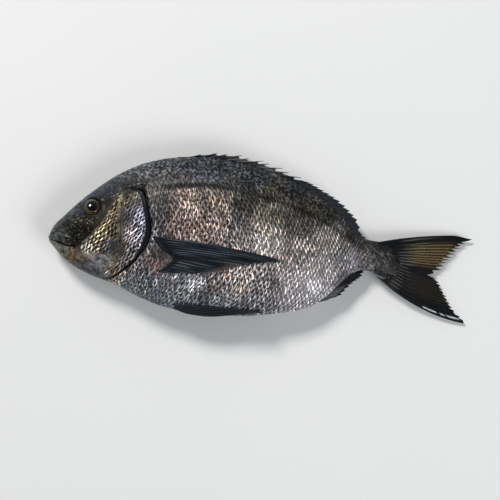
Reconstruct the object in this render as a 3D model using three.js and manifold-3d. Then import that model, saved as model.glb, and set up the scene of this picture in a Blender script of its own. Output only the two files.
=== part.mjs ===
// A whole raw black sea bream, lying on its right flank as it is laid out for sale.
//
// Millimetres, +Z up. While it is being drawn, x runs from the tip of the snout to the tail, y from the
// level of the mouth towards the back, and z up from the surface that the fish lies on. The finished group is
// moved so that its origin is the middle of its footprint on that surface.
//
// The head, trunk and tail stem are one grown piece, the body. The eyes, the gill covers and the seven fins
// are pieces of their own, each set into the body or against it with a small gap.

import * as THREE from "three";
import { mergeVertices } from "three/addons/utils/BufferGeometryUtils.js";
import Module from "manifold-3d";

const wasm = await Module();
wasm.setup();

// ---------------------------------------------------------------- driving dimensions

const GAP = 0.3; // between neighbouring pieces
const BODY_LENGTH = 305; // snout to the end of the flesh at the root of the tail fin

// Outlines of the fish, each as stations along x and the value there.
const BACK_LINE = [
  [0, 0], [0.4, 2.7], [1.6, 6.6], [3.8, 10.8], [10, 17.8], [23, 32], [42, 49], [62, 63], [82, 72.3],
  [103, 77.7], [134, 80.6], [155, 79.2], [201, 68.8], [227, 57], [251, 40.2], [265, 26.4], [276, 21.8],
  [290, 20.6], [305, 18],
];
const BELLY_LINE = [
  [0, 0], [0.5, -2.2], [2.4, -5], [5.5, -8.6], [13, -15.8], [27, -24.6], [42, -30.4], [60, -35],
  [85, -45.5], [106, -51.4], [138, -55], [171, -53.4], [205, -48], [226, -42.4], [238, -35.2], [254, -18.5],
  [264, -8.6], [274, -4.4], [288, -7.6], [305, -12.5],
];
const WIDEST_LEVEL = [
  [0, 0], [20, 2], [45, 7], [85, 12], [130, 13], [200, 11], [250, 9], [276, 8.7], [305, 2.8],
];
const HALF_WIDTH = [
  [0, 0], [0.4, 2.4], [2, 5.4], [5, 8], [12, 11.2], [28, 15.2], [45, 18.6], [75, 23.6], [100, 26],
  [130, 26.8], [165, 25.2], [205, 20], [240, 13.4], [270, 8], [290, 5.6], [305, 2.6],
];
// The fish's own plane of symmetry sags towards the tail, because the trunk carries the weight.
const MIDDLE_HEIGHT = [
  [0, 18.6], [45, 21.6], [100, 24], [150, 24], [200, 22], [245, 18], [280, 13.4], [305, 10.4], [335, 6.2],
  [370, 3.2],
];

// Where the cross-sections that span the skin stand, and how many points each has.
const NOSE_STATIONS = [0.4, 1.6, 3.8, 6.5, 10, 15];
const FIRST_RIB = 21;
const RIB_SPACING = 7.5;
const AROUND = 32;

// How sharply a cross-section closes: above 1 it narrows to a keel, below 1 it stays full.
const BACK_KEEL = 1.12;
const BELLY_KEEL = 0.86;

// An eye looks outwards and a little up: tilt is in radians.
const EYE = { x: 36.6, y: 29.4, radius: 7.4, depth: 4.4, sunk: 2.2, tilt: 0.5, segments: [20, 10] };
const COVER = { thickness: 2, proud: 0.6, clearOfMiddle: 2 };
const MOUTH_SLIT = { width: 0.9, line: [[-2, -1.9], [7, -3.2], [14, -5], [20, -6.1], [26.5, -5.2]] };

// The outline of a gill cover in the side view: down its free rear edge and back up its attached front edge.
const COVER_REAR = [
  [70, 46.5], [77, 47], [82, 39.3], [85, 29], [88, 17], [88.2, 8], [86.4, 1.5], [82.4, -5.8],
  [76.3, -14.2], [68.3, -21.8], [60.2, -28.2], [53, -30.6], [47, -29.4],
];
const COVER_FRONT = [
  [50, -26.6], [56, -22.8], [60.5, -17], [62.4, -9], [62.9, 1], [62.5, 11], [61.4, 21], [61.6, 32],
  [64, 41],
];

// The dorsal and anal fins run along the plane of symmetry, with their roots a little inside the skin.
const MEDIAN_ROOT_DEPTH = 2;
const MEDIAN_SPACING = 7;
const MEDIAN_ROWS = 2;
const DORSAL = {
  start: 100, end: 274, thickness: 2.4, edgeThickness: 1,
  edge: [
    [98, 77], [106, 80.3], [130, 83.6], [145, 85.1], [158, 85], [171, 83.2], [200, 76], [228, 66],
    [243, 59.8], [251, 54.6], [258, 48.4], [266, 37.6], [272, 27.8], [276, 23],
  ],
};
const ANAL = {
  start: 234, end: 272, thickness: 2.2, edgeThickness: 1,
  edge: [
    [232, -40.4], [237, -42], [242, -38.6], [248, -34], [255, -28.2], [262, -18.8], [269, -7.8],
    [274, -4.6],
  ],
};

// The tail fin's rays run from ROOT to TIP, from the upper edge (0) to the lower edge (1).
const TAIL = {
  thickness: 3, edgeThickness: 0.8, upperBulge: 5, lowerBulge: -12, segments: [22, 6],
  rootX: [[0, 285], [0.08, 301], [0.5, 305.5], [0.92, 300], [1, 289]],
  rootY: [[0, 22.2], [0.08, 18.6], [0.5, 3], [0.92, -12.4], [1, -11.8]],
  tipX: [
    [0, 366.7], [0.1, 358.6], [0.25, 350], [0.4, 340], [0.5, 332.5], [0.6, 335.5], [0.75, 344],
    [0.9, 355.6], [1, 366],
  ],
  tipY: [
    [0, 31.4], [0.1, 25.4], [0.25, 15], [0.4, 4.2], [0.5, -4.4], [0.6, -9.6], [0.75, -21.6],
    [0.9, -35], [1, -43.8],
  ],
};

// A pectoral fin lies flat along the flank, from its root behind the gill cover to one long point.
const PECTORAL = {
  root: 90, tip: 198.6, thickness: 1.3, breadth: 20, segments: [5, 14],
  upper: [[0, 7.4], [0.15, 7], [0.45, 4.6], [0.8, 1.8], [1, -2]],
  lower: [[0, -17.4], [0.12, -20.6], [0.35, -20], [0.6, -15.6], [0.8, -9], [1, -3]],
};
// A pelvic fin is folded back along the belly; out is how far its edges stand from the plane of symmetry.
const PELVIC = {
  root: 114, tip: 190, thickness: 1.3, outAtUpper: 15, outAtLower: 7.4, segments: [3, 12],
  upper: [[0, -48.4], [0.3, -47.8], [0.7, -47.6], [1, -48.4]],
  lower: [[0, -54.2], [0.15, -56.6], [0.4, -57.2], [0.6, -54], [0.8, -50.8], [1, -49.2]],
};

// Levels clear of the whole fish, for the prisms that cut it.
const BELOW_ALL = -10;
const ABOVE_ALL = 70;

const LOOKS = {
  skin: { color: 0x6e6a66, roughness: 0.4 },
  cover: { color: 0x74716f, roughness: 0.35 },
  fin: { color: 0x23282d, roughness: 0.4 },
  eye: { color: 0x0d1114, roughness: 0.1 },
};

// ---------------------------------------------------------------- curves

// A smooth curve through [x, value] pairs that never swings past them: cubic, with limited slopes.
function curve(pairs) {
  const steps = pairs.slice(1).map(([x, y], i) => [x - pairs[i][0], y - pairs[i][1]]);
  const slopes = steps.map(([dx, dy]) => dy / dx);
  const tangents = pairs.map((_, i) => {
    if (i === 0) return slopes[0];
    if (i === slopes.length) return slopes[i - 1];
    const [before, after] = [slopes[i - 1], slopes[i]];
    if (before * after <= 0) return 0;
    const [w1, w2] = [2 * steps[i][0] + steps[i - 1][0], steps[i][0] + 2 * steps[i - 1][0]];
    return (w1 + w2) / (w1 / before + w2 / after);
  });
  return (x) => {
    const last = pairs.length - 2;
    let i = 0;
    while (i < last && x > pairs[i + 1][0]) i += 1;
    const dx = steps[i][0];
    const t = THREE.MathUtils.clamp((x - pairs[i][0]) / dx, 0, 1);
    const rise = (3 - 2 * t) * t * t;
    return (
      pairs[i][1] * (1 - rise) + pairs[i + 1][1] * rise +
      dx * t * (1 - t) * (tangents[i] * (1 - t) - tangents[i + 1] * t)
    );
  };
}

const back = curve(BACK_LINE);
const belly = curve(BELLY_LINE);
const widest = curve(WIDEST_LEVEL);
const halfWidth = curve(HALF_WIDTH);
const middleHeight = curve(MIDDLE_HEIGHT);

// ---------------------------------------------------------------- meshes and solids

function geometryOf(points, triangles) {
  const geometry = new THREE.BufferGeometry().setFromPoints(points);
  geometry.setIndex(triangles);
  return geometry;
}

function solidOf(geometry) {
  const bare = geometry.clone();
  bare.deleteAttribute("normal");
  bare.deleteAttribute("uv");
  const merged = mergeVertices(bare, 1e-4);
  return new wasm.Manifold(
    new wasm.Mesh({
      numProp: 3,
      vertProperties: new Float32Array(merged.attributes.position.array),
      triVerts: new Uint32Array(merged.index.array),
    }),
  );
}

// The largest body of a solid, because a cut can leave crumbs behind.
function largest(solid) {
  return solid.decompose().sort((a, b) => b.volume() - a.volume())[0];
}

function meshOf(name, solid, look) {
  const { vertProperties, triVerts } = solid.getMesh();
  const geometry = new THREE.BufferGeometry();
  geometry.setAttribute("position", new THREE.BufferAttribute(vertProperties, 3));
  geometry.setIndex(new THREE.BufferAttribute(triVerts, 1));
  geometry.computeVertexNormals();
  const mesh = new THREE.Mesh(geometry, new THREE.MeshStandardMaterial({ ...look, metalness: 0 }));
  mesh.name = name;
  return mesh;
}

// ---------------------------------------------------------------- body

// A point of the skin. angle is 0 on the back and pi on the belly, through the upper (left) flank, and grow
// moves the skin outwards. The resting flank is pressed flat where it would pass below the surface.
function skinPoint(x, angle, grow) {
  const [c, s] = [Math.cos(angle), Math.sin(angle)];
  const level = widest(x);
  const reach = (c > 0 ? back(x) - level : level - belly(x)) + grow;
  const keel = c > 0 ? BACK_KEEL : BELLY_KEEL;
  const out = (halfWidth(x) + grow) * Math.sign(s) * Math.abs(s) ** keel;
  return new THREE.Vector3(x, level + reach * c, Math.max(middleHeight(x) + out, -grow, 0));
}

// How far the skin stands from the plane of symmetry at a place in the side view.
function skinOut(x, y) {
  const level = widest(x);
  const reach = y > level ? back(x) - level : level - belly(x);
  const c = Math.min(1, Math.abs(y - level) / reach);
  return halfWidth(x) * Math.sqrt(1 - c * c) ** (y > level ? BACK_KEEL : BELLY_KEEL);
}

function skinGeometry(grow) {
  const stations = [...NOSE_STATIONS];
  for (let x = FIRST_RIB; x < BODY_LENGTH - RIB_SPACING / 2; x += RIB_SPACING) stations.push(x);
  stations.push(BODY_LENGTH + Math.max(grow, 0));

  const points = [new THREE.Vector3(-Math.max(grow, 0), 0, middleHeight(0))];
  const triangles = [];
  for (const x of stations) {
    for (let k = 0; k < AROUND; k++) {
      points.push(skinPoint(x, ((k + 0.5) / AROUND) * 2 * Math.PI, grow));
    }
  }
  const at = (station, k) => 1 + station * AROUND + (k % AROUND);
  for (let k = 0; k < AROUND; k++) {
    triangles.push(0, at(0, k + 1), at(0, k));
    for (let i = 0; i < stations.length - 1; i++) {
      triangles.push(at(i, k), at(i + 1, k + 1), at(i + 1, k), at(i, k), at(i, k + 1), at(i + 1, k + 1));
    }
  }
  const end = stations.length - 1;
  points.push(new THREE.Vector3(stations[end], widest(BODY_LENGTH), middleHeight(BODY_LENGTH)));
  for (let k = 0; k < AROUND; k++) triangles.push(points.length - 1, at(end, k), at(end, k + 1));
  return geometryOf(points, triangles);
}

const skin = solidOf(skinGeometry(0));
const clearOfSkin = solidOf(skinGeometry(GAP));

// ---------------------------------------------------------------- flat outlines and thin plates

// A solid through the whole height between two levels, of an outline in the side view.
function prism(outline, low, high) {
  const shape = new THREE.Shape(outline.map(([x, y]) => new THREE.Vector2(x, y)));
  const geometry = new THREE.ExtrudeGeometry(shape, { depth: high - low, bevelEnabled: false });
  return solidOf(geometry.translate(0, 0, low));
}

// An outline moved outwards by a distance; it runs clockwise in the side view.
function outset(outline, distance) {
  return outline.map(([x, y], i) => {
    const [x0, y0] = outline[(i + outline.length - 1) % outline.length];
    const [x1, y1] = outline[(i + 1) % outline.length];
    const along = new THREE.Vector2(x1 - x0, y1 - y0).normalize();
    return [x - along.y * distance, y + along.x * distance];
  });
}

// A closed sheet around middle(u, v), with u and v from 0 to 1 and thickness(u, v) across it.
function plate(across, along, middle, thickness) {
  const STEP = 1e-3;
  const sides = [[], []];
  for (let i = 0; i <= across; i++) {
    for (let j = 0; j <= along; j++) {
      const [u, v] = [i / across, j / along];
      const du = middle(Math.min(1, u + STEP), v).sub(middle(Math.max(0, u - STEP), v));
      const dv = middle(u, Math.min(1, v + STEP)).sub(middle(u, Math.max(0, v - STEP)));
      const normal = dv.cross(du).normalize();
      for (const side of [0, 1]) {
        const offset = (side ? -0.5 : 0.5) * thickness(u, v);
        sides[side].push(middle(u, v).addScaledVector(normal, offset));
      }
    }
  }
  const count = sides[0].length;
  const at = (i, j, side) => i * (along + 1) + j + side * count;
  const triangles = [];
  const quad = (a, b, c, d) => triangles.push(a, b, c, a, c, d);
  for (let i = 0; i < across; i++) {
    for (let j = 0; j < along; j++) {
      quad(at(i, j, 0), at(i, j + 1, 0), at(i + 1, j + 1, 0), at(i + 1, j, 0));
      quad(at(i, j, 1), at(i + 1, j, 1), at(i + 1, j + 1, 1), at(i, j + 1, 1));
    }
  }
  for (let i = 0; i < across; i++) {
    quad(at(i, 0, 0), at(i + 1, 0, 0), at(i + 1, 0, 1), at(i, 0, 1));
    quad(at(i + 1, along, 0), at(i, along, 0), at(i, along, 1), at(i + 1, along, 1));
  }
  for (let j = 0; j < along; j++) {
    quad(at(0, j + 1, 0), at(0, j, 0), at(0, j, 1), at(0, j + 1, 1));
    quad(at(across, j, 0), at(across, j + 1, 0), at(across, j + 1, 1), at(across, j, 1));
  }
  return solidOf(geometryOf([...sides[0], ...sides[1]], triangles));
}

// ---------------------------------------------------------------- eyes, gill covers and mouth

// side is 1 on the upper (left) flank and -1 on the resting (right) flank.
function eyeball(side, grow) {
  const out = skinOut(EYE.x, EYE.y) - EYE.sunk;
  const geometry = new THREE.SphereGeometry(1, ...EYE.segments);
  geometry.rotateX(Math.PI / 2);
  geometry.scale(EYE.radius + grow, EYE.radius + grow, EYE.depth + grow);
  geometry.rotateX(-side * EYE.tilt);
  return solidOf(geometry.translate(EYE.x, EYE.y, middleHeight(EYE.x) + side * out));
}

const coverOutline = [...COVER_REAR, ...COVER_FRONT];

// The space of a gill cover: a layer of the skin inside the outline, from a depth to a height over it.
function coverSpace(side, margin, depth, height) {
  const middle = middleHeight(coverOutline[0][0]);
  const outline = outset(coverOutline, margin);
  const near = COVER.clearOfMiddle - margin;
  const column = side > 0
    ? prism(outline, middle + near, ABOVE_ALL)
    : prism(outline, BELOW_ALL, middle - near);
  const outside = solidOf(skinGeometry(height));
  return column.intersect(outside).subtract(solidOf(skinGeometry(-depth)));
}

function mouthSlit() {
  const { line, width } = MOUTH_SLIT;
  const upper = line.map(([x, y]) => [x, y + width / 2]);
  const lower = line.map(([x, y]) => [x, y - width / 2]).reverse();
  return prism([...upper, ...lower], BELOW_ALL, ABOVE_ALL);
}

// ---------------------------------------------------------------- fins

// A fin in the plane of symmetry, standing on the back or belly and folded down along it.
function medianFin(fin, root) {
  const edge = curve(fin.edge);
  const middle = (u, v) => {
    const x = fin.start + (fin.end - fin.start) * u;
    const inside = root(x) - Math.sign(edge(x)) * MEDIAN_ROOT_DEPTH;
    return new THREE.Vector3(x, THREE.MathUtils.lerp(inside, edge(x), v), middleHeight(x));
  };
  const thickness = (u, v) => THREE.MathUtils.lerp(fin.thickness, fin.edgeThickness, v);
  const columns = Math.round((fin.end - fin.start) / MEDIAN_SPACING);
  return plate(columns, MEDIAN_ROWS, middle, thickness).subtract(clearOfSkin);
}

function tailFin() {
  const [rootX, rootY, tipX, tipY] = [TAIL.rootX, TAIL.rootY, TAIL.tipX, TAIL.tipY].map(curve);
  const middle = (u, v) => {
    const bulge = THREE.MathUtils.lerp(TAIL.upperBulge, TAIL.lowerBulge, u) * Math.abs(2 * u - 1);
    const [x0, y0, x1, y1] = [rootX(u), rootY(u), tipX(u), tipY(u)];
    const ray = new THREE.QuadraticBezierCurve(
      new THREE.Vector2(x0, y0),
      new THREE.Vector2((x0 + x1) / 2, (y0 + y1) / 2 + bulge),
      new THREE.Vector2(x1, y1),
    ).getPoint(v);
    return new THREE.Vector3(ray.x, ray.y, middleHeight(ray.x));
  };
  const thickness = (u, v) => THREE.MathUtils.lerp(TAIL.thickness, TAIL.edgeThickness, Math.sqrt(v));
  return plate(...TAIL.segments, middle, thickness).subtract(clearOfSkin);
}

// A fin between two edges given along its length, in the side view.
function bladePoint(fin, upper, lower, u, v) {
  return [THREE.MathUtils.lerp(fin.root, fin.tip, v), THREE.MathUtils.lerp(upper(v), lower(v), u)];
}

function pectoralFin(side, grow) {
  const [upper, lower] = [curve(PECTORAL.upper), curve(PECTORAL.lower)];
  const half = PECTORAL.thickness / 2;
  const lift = half + GAP;
  const widening = grow / PECTORAL.breadth;
  const middle = (u, v) => {
    const [x, y] = bladePoint(PECTORAL, upper, lower, u * (1 + 2 * widening) - widening, v);
    const along = x + grow * (2 * v - 1);
    const z = middleHeight(x) + side * (skinOut(x, y) + lift);
    return new THREE.Vector3(along, y, Math.max(z, half));
  };
  return plate(...PECTORAL.segments, middle, () => PECTORAL.thickness + 2 * grow);
}

function pelvicFin(side) {
  const [upper, lower] = [curve(PELVIC.upper), curve(PELVIC.lower)];
  const middle = (u, v) => {
    const [x, y] = bladePoint(PELVIC, upper, lower, u, v);
    const narrowing = halfWidth(x) / halfWidth(PELVIC.root);
    const out = THREE.MathUtils.lerp(PELVIC.outAtUpper, PELVIC.outAtLower, u) * narrowing;
    return new THREE.Vector3(x, y, middleHeight(x) + side * out);
  };
  return plate(...PELVIC.segments, middle, () => PELVIC.thickness).subtract(clearOfSkin);
}

// ---------------------------------------------------------------- assembly

let body = skin.subtract(mouthSlit());
for (const side of [1, -1]) {
  body = body.subtract(eyeball(side, GAP));
  body = body.subtract(coverSpace(side, GAP, COVER.thickness - COVER.proud + GAP, 1));
}
// The fin under the fish is pressed into the soft flank above it.
body = body.subtract(pectoralFin(-1, GAP));

const pieces = [["body", largest(body), LOOKS.skin]];
for (const [side, name] of [[1, "left"], [-1, "right"]]) {
  const cover = coverSpace(side, 0, COVER.thickness - COVER.proud, COVER.proud);
  pieces.push([`eye_${name}`, eyeball(side, 0), LOOKS.eye]);
  pieces.push([`gill_cover_${name}`, largest(cover), LOOKS.cover]);
  pieces.push([`pectoral_fin_${name}`, pectoralFin(side, 0), LOOKS.fin]);
  pieces.push([`pelvic_fin_${name}`, largest(pelvicFin(side)), LOOKS.fin]);
}
pieces.push(["dorsal_fin", largest(medianFin(DORSAL, back)), LOOKS.fin]);
pieces.push(["anal_fin", largest(medianFin(ANAL, belly)), LOOKS.fin]);
pieces.push(["tail_fin", largest(tailFin()), LOOKS.fin]);

const fish = new THREE.Group();
for (const piece of pieces) fish.add(meshOf(...piece));

const box = new THREE.Box3().setFromObject(fish);
const centre = box.getCenter(new THREE.Vector3());
fish.position.set(-centre.x, -centre.y, -box.min.z);

export default fish;
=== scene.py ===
"""A whole raw black sea bream, lying on its right flank on a plain pale floor.

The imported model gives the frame: where the snout, the fins and the resting surface are. Each of its pieces
is replaced here by a finely shaped one, drawn in millimetres with x from the snout to the tail, y towards the
back and z up, and then moved into the frame. The skin's scales are one lattice of overlapping shingles: the
meshes carry its coordinates, their relief follows it, and the skin material draws the same lattice in nodes.
"""

import math

import bpy
import numpy as np
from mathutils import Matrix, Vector


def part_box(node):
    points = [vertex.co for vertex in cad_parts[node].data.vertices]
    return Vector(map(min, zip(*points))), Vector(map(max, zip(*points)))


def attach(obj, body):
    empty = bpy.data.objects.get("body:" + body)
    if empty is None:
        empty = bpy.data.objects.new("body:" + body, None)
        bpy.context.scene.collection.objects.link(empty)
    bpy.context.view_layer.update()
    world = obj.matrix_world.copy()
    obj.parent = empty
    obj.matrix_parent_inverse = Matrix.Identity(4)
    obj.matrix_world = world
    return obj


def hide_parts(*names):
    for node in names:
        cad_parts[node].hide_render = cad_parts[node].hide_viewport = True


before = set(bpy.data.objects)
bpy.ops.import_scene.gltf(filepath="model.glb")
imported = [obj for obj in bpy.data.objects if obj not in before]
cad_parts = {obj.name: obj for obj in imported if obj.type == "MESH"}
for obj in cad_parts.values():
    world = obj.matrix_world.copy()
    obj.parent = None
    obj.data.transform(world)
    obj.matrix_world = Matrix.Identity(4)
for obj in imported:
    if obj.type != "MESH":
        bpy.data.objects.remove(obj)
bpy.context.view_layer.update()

# ---------------------------------------------------------------- driving dimensions, in millimetres

MM = 0.001
SNOUT_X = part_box("body")[0].x / MM
DORSAL_TOP = 85.1  # the highest place on the dorsal fin, above the snout
BASE_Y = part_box("dorsal_fin")[1].y / MM - DORSAL_TOP

# The outline of the body in the side view, then its thickness and the height of its middle above the floor.
BACK_LINE = [
    (0, 0), (0.4, 2.7), (1.6, 6.6), (3.8, 10.8), (10, 17.8), (23, 32), (42, 49), (62, 63), (82, 72.3),
    (103, 77.7), (134, 80.6), (155, 79.2), (201, 68.8), (227, 57), (251, 40.2), (265, 26.4), (276, 21.8),
    (290, 20.6), (307, 17),
]
BELLY_LINE = [
    (0, 0), (0.5, -2.2), (2.4, -5), (5.5, -8.6), (13, -15.8), (27, -24.6), (42, -30.4), (60, -35),
    (85, -45.5), (106, -51.4), (138, -55), (171, -53.4), (205, -48), (226, -42.4), (238, -35.2),
    (254, -18.5), (264, -8.6), (274, -4.4), (288, -7.6), (307, -12.5),
]
WIDEST_LEVEL = [
    (0, 0), (20, 2), (45, 7), (85, 12), (130, 13), (200, 11), (250, 9), (276, 8.7), (307, 2.8),
]
HALF_WIDTH = [
    (0, 0), (0.4, 2.4), (2, 5.4), (5, 8), (12, 11.2), (28, 15.2), (45, 18.6), (75, 23.6), (100, 26),
    (130, 26.8), (165, 25.2), (205, 20), (240, 13.4), (270, 8), (290, 5.4), (303, 2.4), (307, 0.4),
]
MIDDLE_HEIGHT = [
    (0, 18.6), (45, 21.6), (100, 24), (150, 24), (200, 22), (245, 18), (280, 13.4), (305, 10.4),
    (335, 6.2), (370, 3.2),
]
BACK_KEEL = 1.12  # over 1 pinches the section towards its edge, under 1 rounds it
BELLY_KEEL = 0.86
BODY_END = 307

LATERAL_LINE = [
    (0, 30), (60, 47), (84, 48.4), (101, 51.6), (118, 54), (135, 55.2), (153, 54.2), (188, 48.6),
    (206, 44.6), (224, 39), (242, 30.6), (260, 19.6), (275, 12.6), (307, 4),
]
# A scale's visible length along the fish, and the height of a row where the trunk is TRUNK_DEPTH deep.
SCALE_LENGTH = [(0, 3.4), (60, 3.8), (110, 4.1), (150, 4), (210, 3.5), (250, 3), (307, 2.1)]
ROW_HEIGHT = 4.1
TRUNK_DEPTH = 135
SCALE_CURVE = 0.38  # how far the rear edge of a scale bulges, in scale lengths
SCALE_HEIGHT = 0.26  # how far the scales of the head stand out
# The columns of scales bow towards the tail, and reach furthest at this depth below the lateral line.
BOW_LEVEL = 42
COLUMN_BOW = 0.00095

EYE = (36.6, 29.4)
EYE_RADIUS = 7.4
GILL_TOP = (80.7, 49.6)  # the black spot where the gill opening ends above
NOSTRILS = [(22.6, 27.6), (25, 30.2)]
MOUTH = [(0.2, -1.6), (6.8, -3.1), (13, -4.9), (19.2, -6.3), (25, -5.6)]
MOUTH_CORNER = (24, 27)  # the gape fades out between these
# Where the black skin around the eye ends and the cheek's scales begin, from the nape to the jaw.
CHEEK_FRONT = [(49, 60), (54, 44), (55, 37), (52, 27), (48, 19), (38, 5), (28, -5), (20, -20)]
# The gill cover's two edges, both from the top down.
COVER_REAR = [
    (70, 47), (77.4, 46), (82, 39.3), (85, 29), (87.6, 19), (88.4, 9), (86.6, 1.5), (82.4, -5.8),
    (76.3, -14.2), (68.3, -21.8), (60.2, -28.2), (53, -31.4),
]
COVER_FRONT = [
    (63.5, 43.5), (61.6, 34), (61.2, 24), (62, 12), (62.6, 2), (62.2, -9), (60, -17.4), (55.4, -22.6),
    (48, -26.6),
]


def curve(pairs):
    """A smooth curve through (x, value) pairs that never swings past them, for arrays of x."""
    x, y = np.array(pairs, float).T
    dx = np.diff(x)
    slope = np.diff(y) / dx
    before, after = slope[:-1], slope[1:]
    w1, w2 = 2 * dx[1:] + dx[:-1], dx[1:] + 2 * dx[:-1]
    turns = before * after <= 0
    before, after = np.where(turns, 1, before), np.where(turns, 1, after)
    inner = np.where(turns, 0, (w1 + w2) / (w1 / before + w2 / after))
    tangent = np.concatenate([slope[:1], inner, slope[-1:]])

    def at(where):
        where = np.asarray(where, float)
        i = np.clip(np.searchsorted(x, where) - 1, 0, len(dx) - 1)
        t = np.clip((where - x[i]) / dx[i], 0, 1)
        rise = (3 - 2 * t) * t * t
        bend = dx[i] * t * (1 - t) * (tangent[i] * (1 - t) - tangent[i + 1] * t)
        return y[i] * (1 - rise) + y[i + 1] * rise + bend

    return at


back = curve(BACK_LINE)
belly = curve(BELLY_LINE)
widest = curve(WIDEST_LEVEL)
half_width = curve(HALF_WIDTH)
middle_height = curve(MIDDLE_HEIGHT)
lateral = curve(LATERAL_LINE)
scale_length = curve(SCALE_LENGTH)


def outline(points):
    """A smooth path through points, as a function of 0 to 1 along its length that gives x and y."""
    points = np.array(points, float)
    along = np.concatenate([[0], np.cumsum(np.hypot(*np.diff(points, axis=0).T))])
    along /= along[-1]
    in_x, in_y = curve(list(zip(along, points[:, 0]))), curve(list(zip(along, points[:, 1])))
    return lambda t: (in_x(t), in_y(t))


def smooth(low, high, value):
    """0 below low, 1 above high, and a smooth rise between them."""
    t = np.clip((value - low) / (high - low), 0, 1)
    return t * t * (3 - 2 * t)


def fade(low, high, value):
    """1 below low, 0 above high, and a smooth fall between them."""
    return 1 - smooth(low, high, value)


def within(value, rise, fall):
    """1 between two soft ends, each given as where it begins and ends."""
    return smooth(*rise, value) * fade(*fall, value)


def hump(distance, width):
    """1 at no distance, falling off over width."""
    return np.exp(-((distance / width) ** 2))


def from_place(x, y, place):
    return np.hypot(x - place[0], y - place[1])


def from_line(x, y, line):
    """How far each place is from a polyline: positive on its left, seen from its start."""
    best = np.full(np.shape(x), 1e9)
    signed = np.zeros(np.shape(x))
    for (x0, y0), (x1, y1) in zip(line[:-1], line[1:]):
        dx, dy = x1 - x0, y1 - y0
        t = np.clip(((x - x0) * dx + (y - y0) * dy) / (dx * dx + dy * dy), 0, 1)
        away = np.hypot(x - x0 - t * dx, y - y0 - t * dy)
        side = np.sign(dx * (y - y0) - dy * (x - x0))
        nearer = away < best
        best = np.where(nearer, away, best)
        signed = np.where(nearer, side * away, signed)
    return signed


def sampled(path, count):
    """A polyline of count points along a path."""
    return list(zip(*path(np.linspace(0, 1, count))))


def wander(x, y, size, seed):
    """A smooth random field over the side view, mostly between -1 and 1, with blobs about size wide."""
    waves = 9
    random = np.random.default_rng(seed)
    total = np.zeros(np.shape(x))
    for _ in range(waves):
        turn = random.uniform(0, 2 * math.pi)
        phase = random.uniform(0, 2 * math.pi)
        stretch = random.uniform(0.7, 1.5)
        along = x * math.cos(turn) + y * math.sin(turn)
        total += np.sin(along * math.pi / (size * stretch) + phase)
    return total / math.sqrt(waves)


# ---------------------------------------------------------------- the skin as a surface

def section_reach(x, up):
    """From the widest level to the back where up, else to the belly."""
    return np.where(up, back(x) - widest(x), widest(x) - belly(x))


def skin(x, angle):
    """The skin before it is pressed flat: angle 0 on the back, pi on the belly, by way of the left flank."""
    c, s = np.cos(angle), np.sin(angle)
    keel = np.where(c > 0, BACK_KEEL, BELLY_KEEL)
    out = half_width(x) * np.sign(s) * np.abs(s) ** keel
    return np.stack([x + 0 * angle, widest(x) + section_reach(x, c > 0) * c, middle_height(x) + out], -1)


def skin_normal(x, angle):
    """Unit normals of the skin, pointing out."""
    step_x, step_a = 0.05, 0.002
    along = skin(x + step_x, angle) - skin(np.maximum(x - step_x, 0), angle)
    around = skin(x, angle + step_a) - skin(x, angle - step_a)
    normal = np.cross(around, along)
    return normal / np.maximum(np.linalg.norm(normal, axis=-1, keepdims=True), 1e-9)


def skin_angle(x, y, side):
    """The angle at a place in the side view, on the left flank (side 1) or the right one (side -1)."""
    c = np.clip((y - widest(x)) / section_reach(x, y > widest(x)), -1, 1)
    return np.arccos(c) if side > 0 else 2 * math.pi - np.arccos(c)


def over_skin(x, y, side, lift):
    """A point lifted off the skin, and never below the surface that the fish lies on."""
    angle = skin_angle(x, y, side)
    point = skin(x, angle) + skin_normal(x, angle) * np.asarray(lift)[..., None]
    point[..., 2] = np.maximum(point[..., 2], 0)
    return point


# ---------------------------------------------------------------- the scale lattice

def scales(s, t):
    """Where a place lies on the scale that shows there: how far short of its rear edge, and how far off its
    middle row. Rows are 1 apart in t and scales 1 apart in s; the scale in front covers those behind it."""
    row = np.floor(t)
    found = []
    for j in (row, row + 1):
        off = np.abs(t - j)
        shift = 0.5 * np.mod(j, 2)
        reach = s - shift - SCALE_CURVE * (1 - off**2)
        number = np.ceil(reach)
        found.append((number + shift, number - reach, off))
    (front0, short0, off0), (front1, short1, off1) = found
    first = front0 <= front1
    return np.where(first, short0, short1), np.where(first, off0, off1)


def scale_relief(s, t):
    """0 to 1: each scale rises to its rear edge and drops there."""
    short, off = scales(s, t)
    return (1 - short) ** 0.7 * (1 - 0.35 * off**2) * smooth(0, 0.12, short)


# Where the counts of scales and of rows start, so that both lattices stay above 0.
TRUNK_START = (20, 40)
CHEEK_START = (200, 100)
CHEEK_TURN = math.radians(33)
CHEEK_SCALE = 3.3
CHEEK_ROW = 3.9
COVER_SHARE = 0.85  # how long scales on the gill covers are, against those on the cheeks


def cheek_lattice(x, y):
    """Lattice coordinates on the cheeks and gill covers, whose scales point down and back."""
    along = x * math.cos(CHEEK_TURN) - y * math.sin(CHEEK_TURN)
    across = x * math.sin(CHEEK_TURN) + y * math.cos(CHEEK_TURN)
    along = along + 0.7 * wander(x, y, 9, 5) + 0.25 * wander(x, y, 3, 6)
    across = across + 0.6 * wander(x, y, 6, 7)
    return along / CHEEK_SCALE + CHEEK_START[0], across / CHEEK_ROW + CHEEK_START[1]


# ---------------------------------------------------------------- colour by place

def rgb(colour):
    """Screen values of 0 to 255 as the linear values that shaders use."""
    c = np.asarray(colour, float) / 255
    return np.where(c <= 0.04045, c / 12.92, ((c + 0.055) / 1.055) ** 2.4)


def blend(start, end, amount):
    """Colours from start to end, for an array of amounts."""
    amount = np.clip(amount, 0, 1)[..., None]
    return start * (1 - amount) + end * amount


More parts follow.
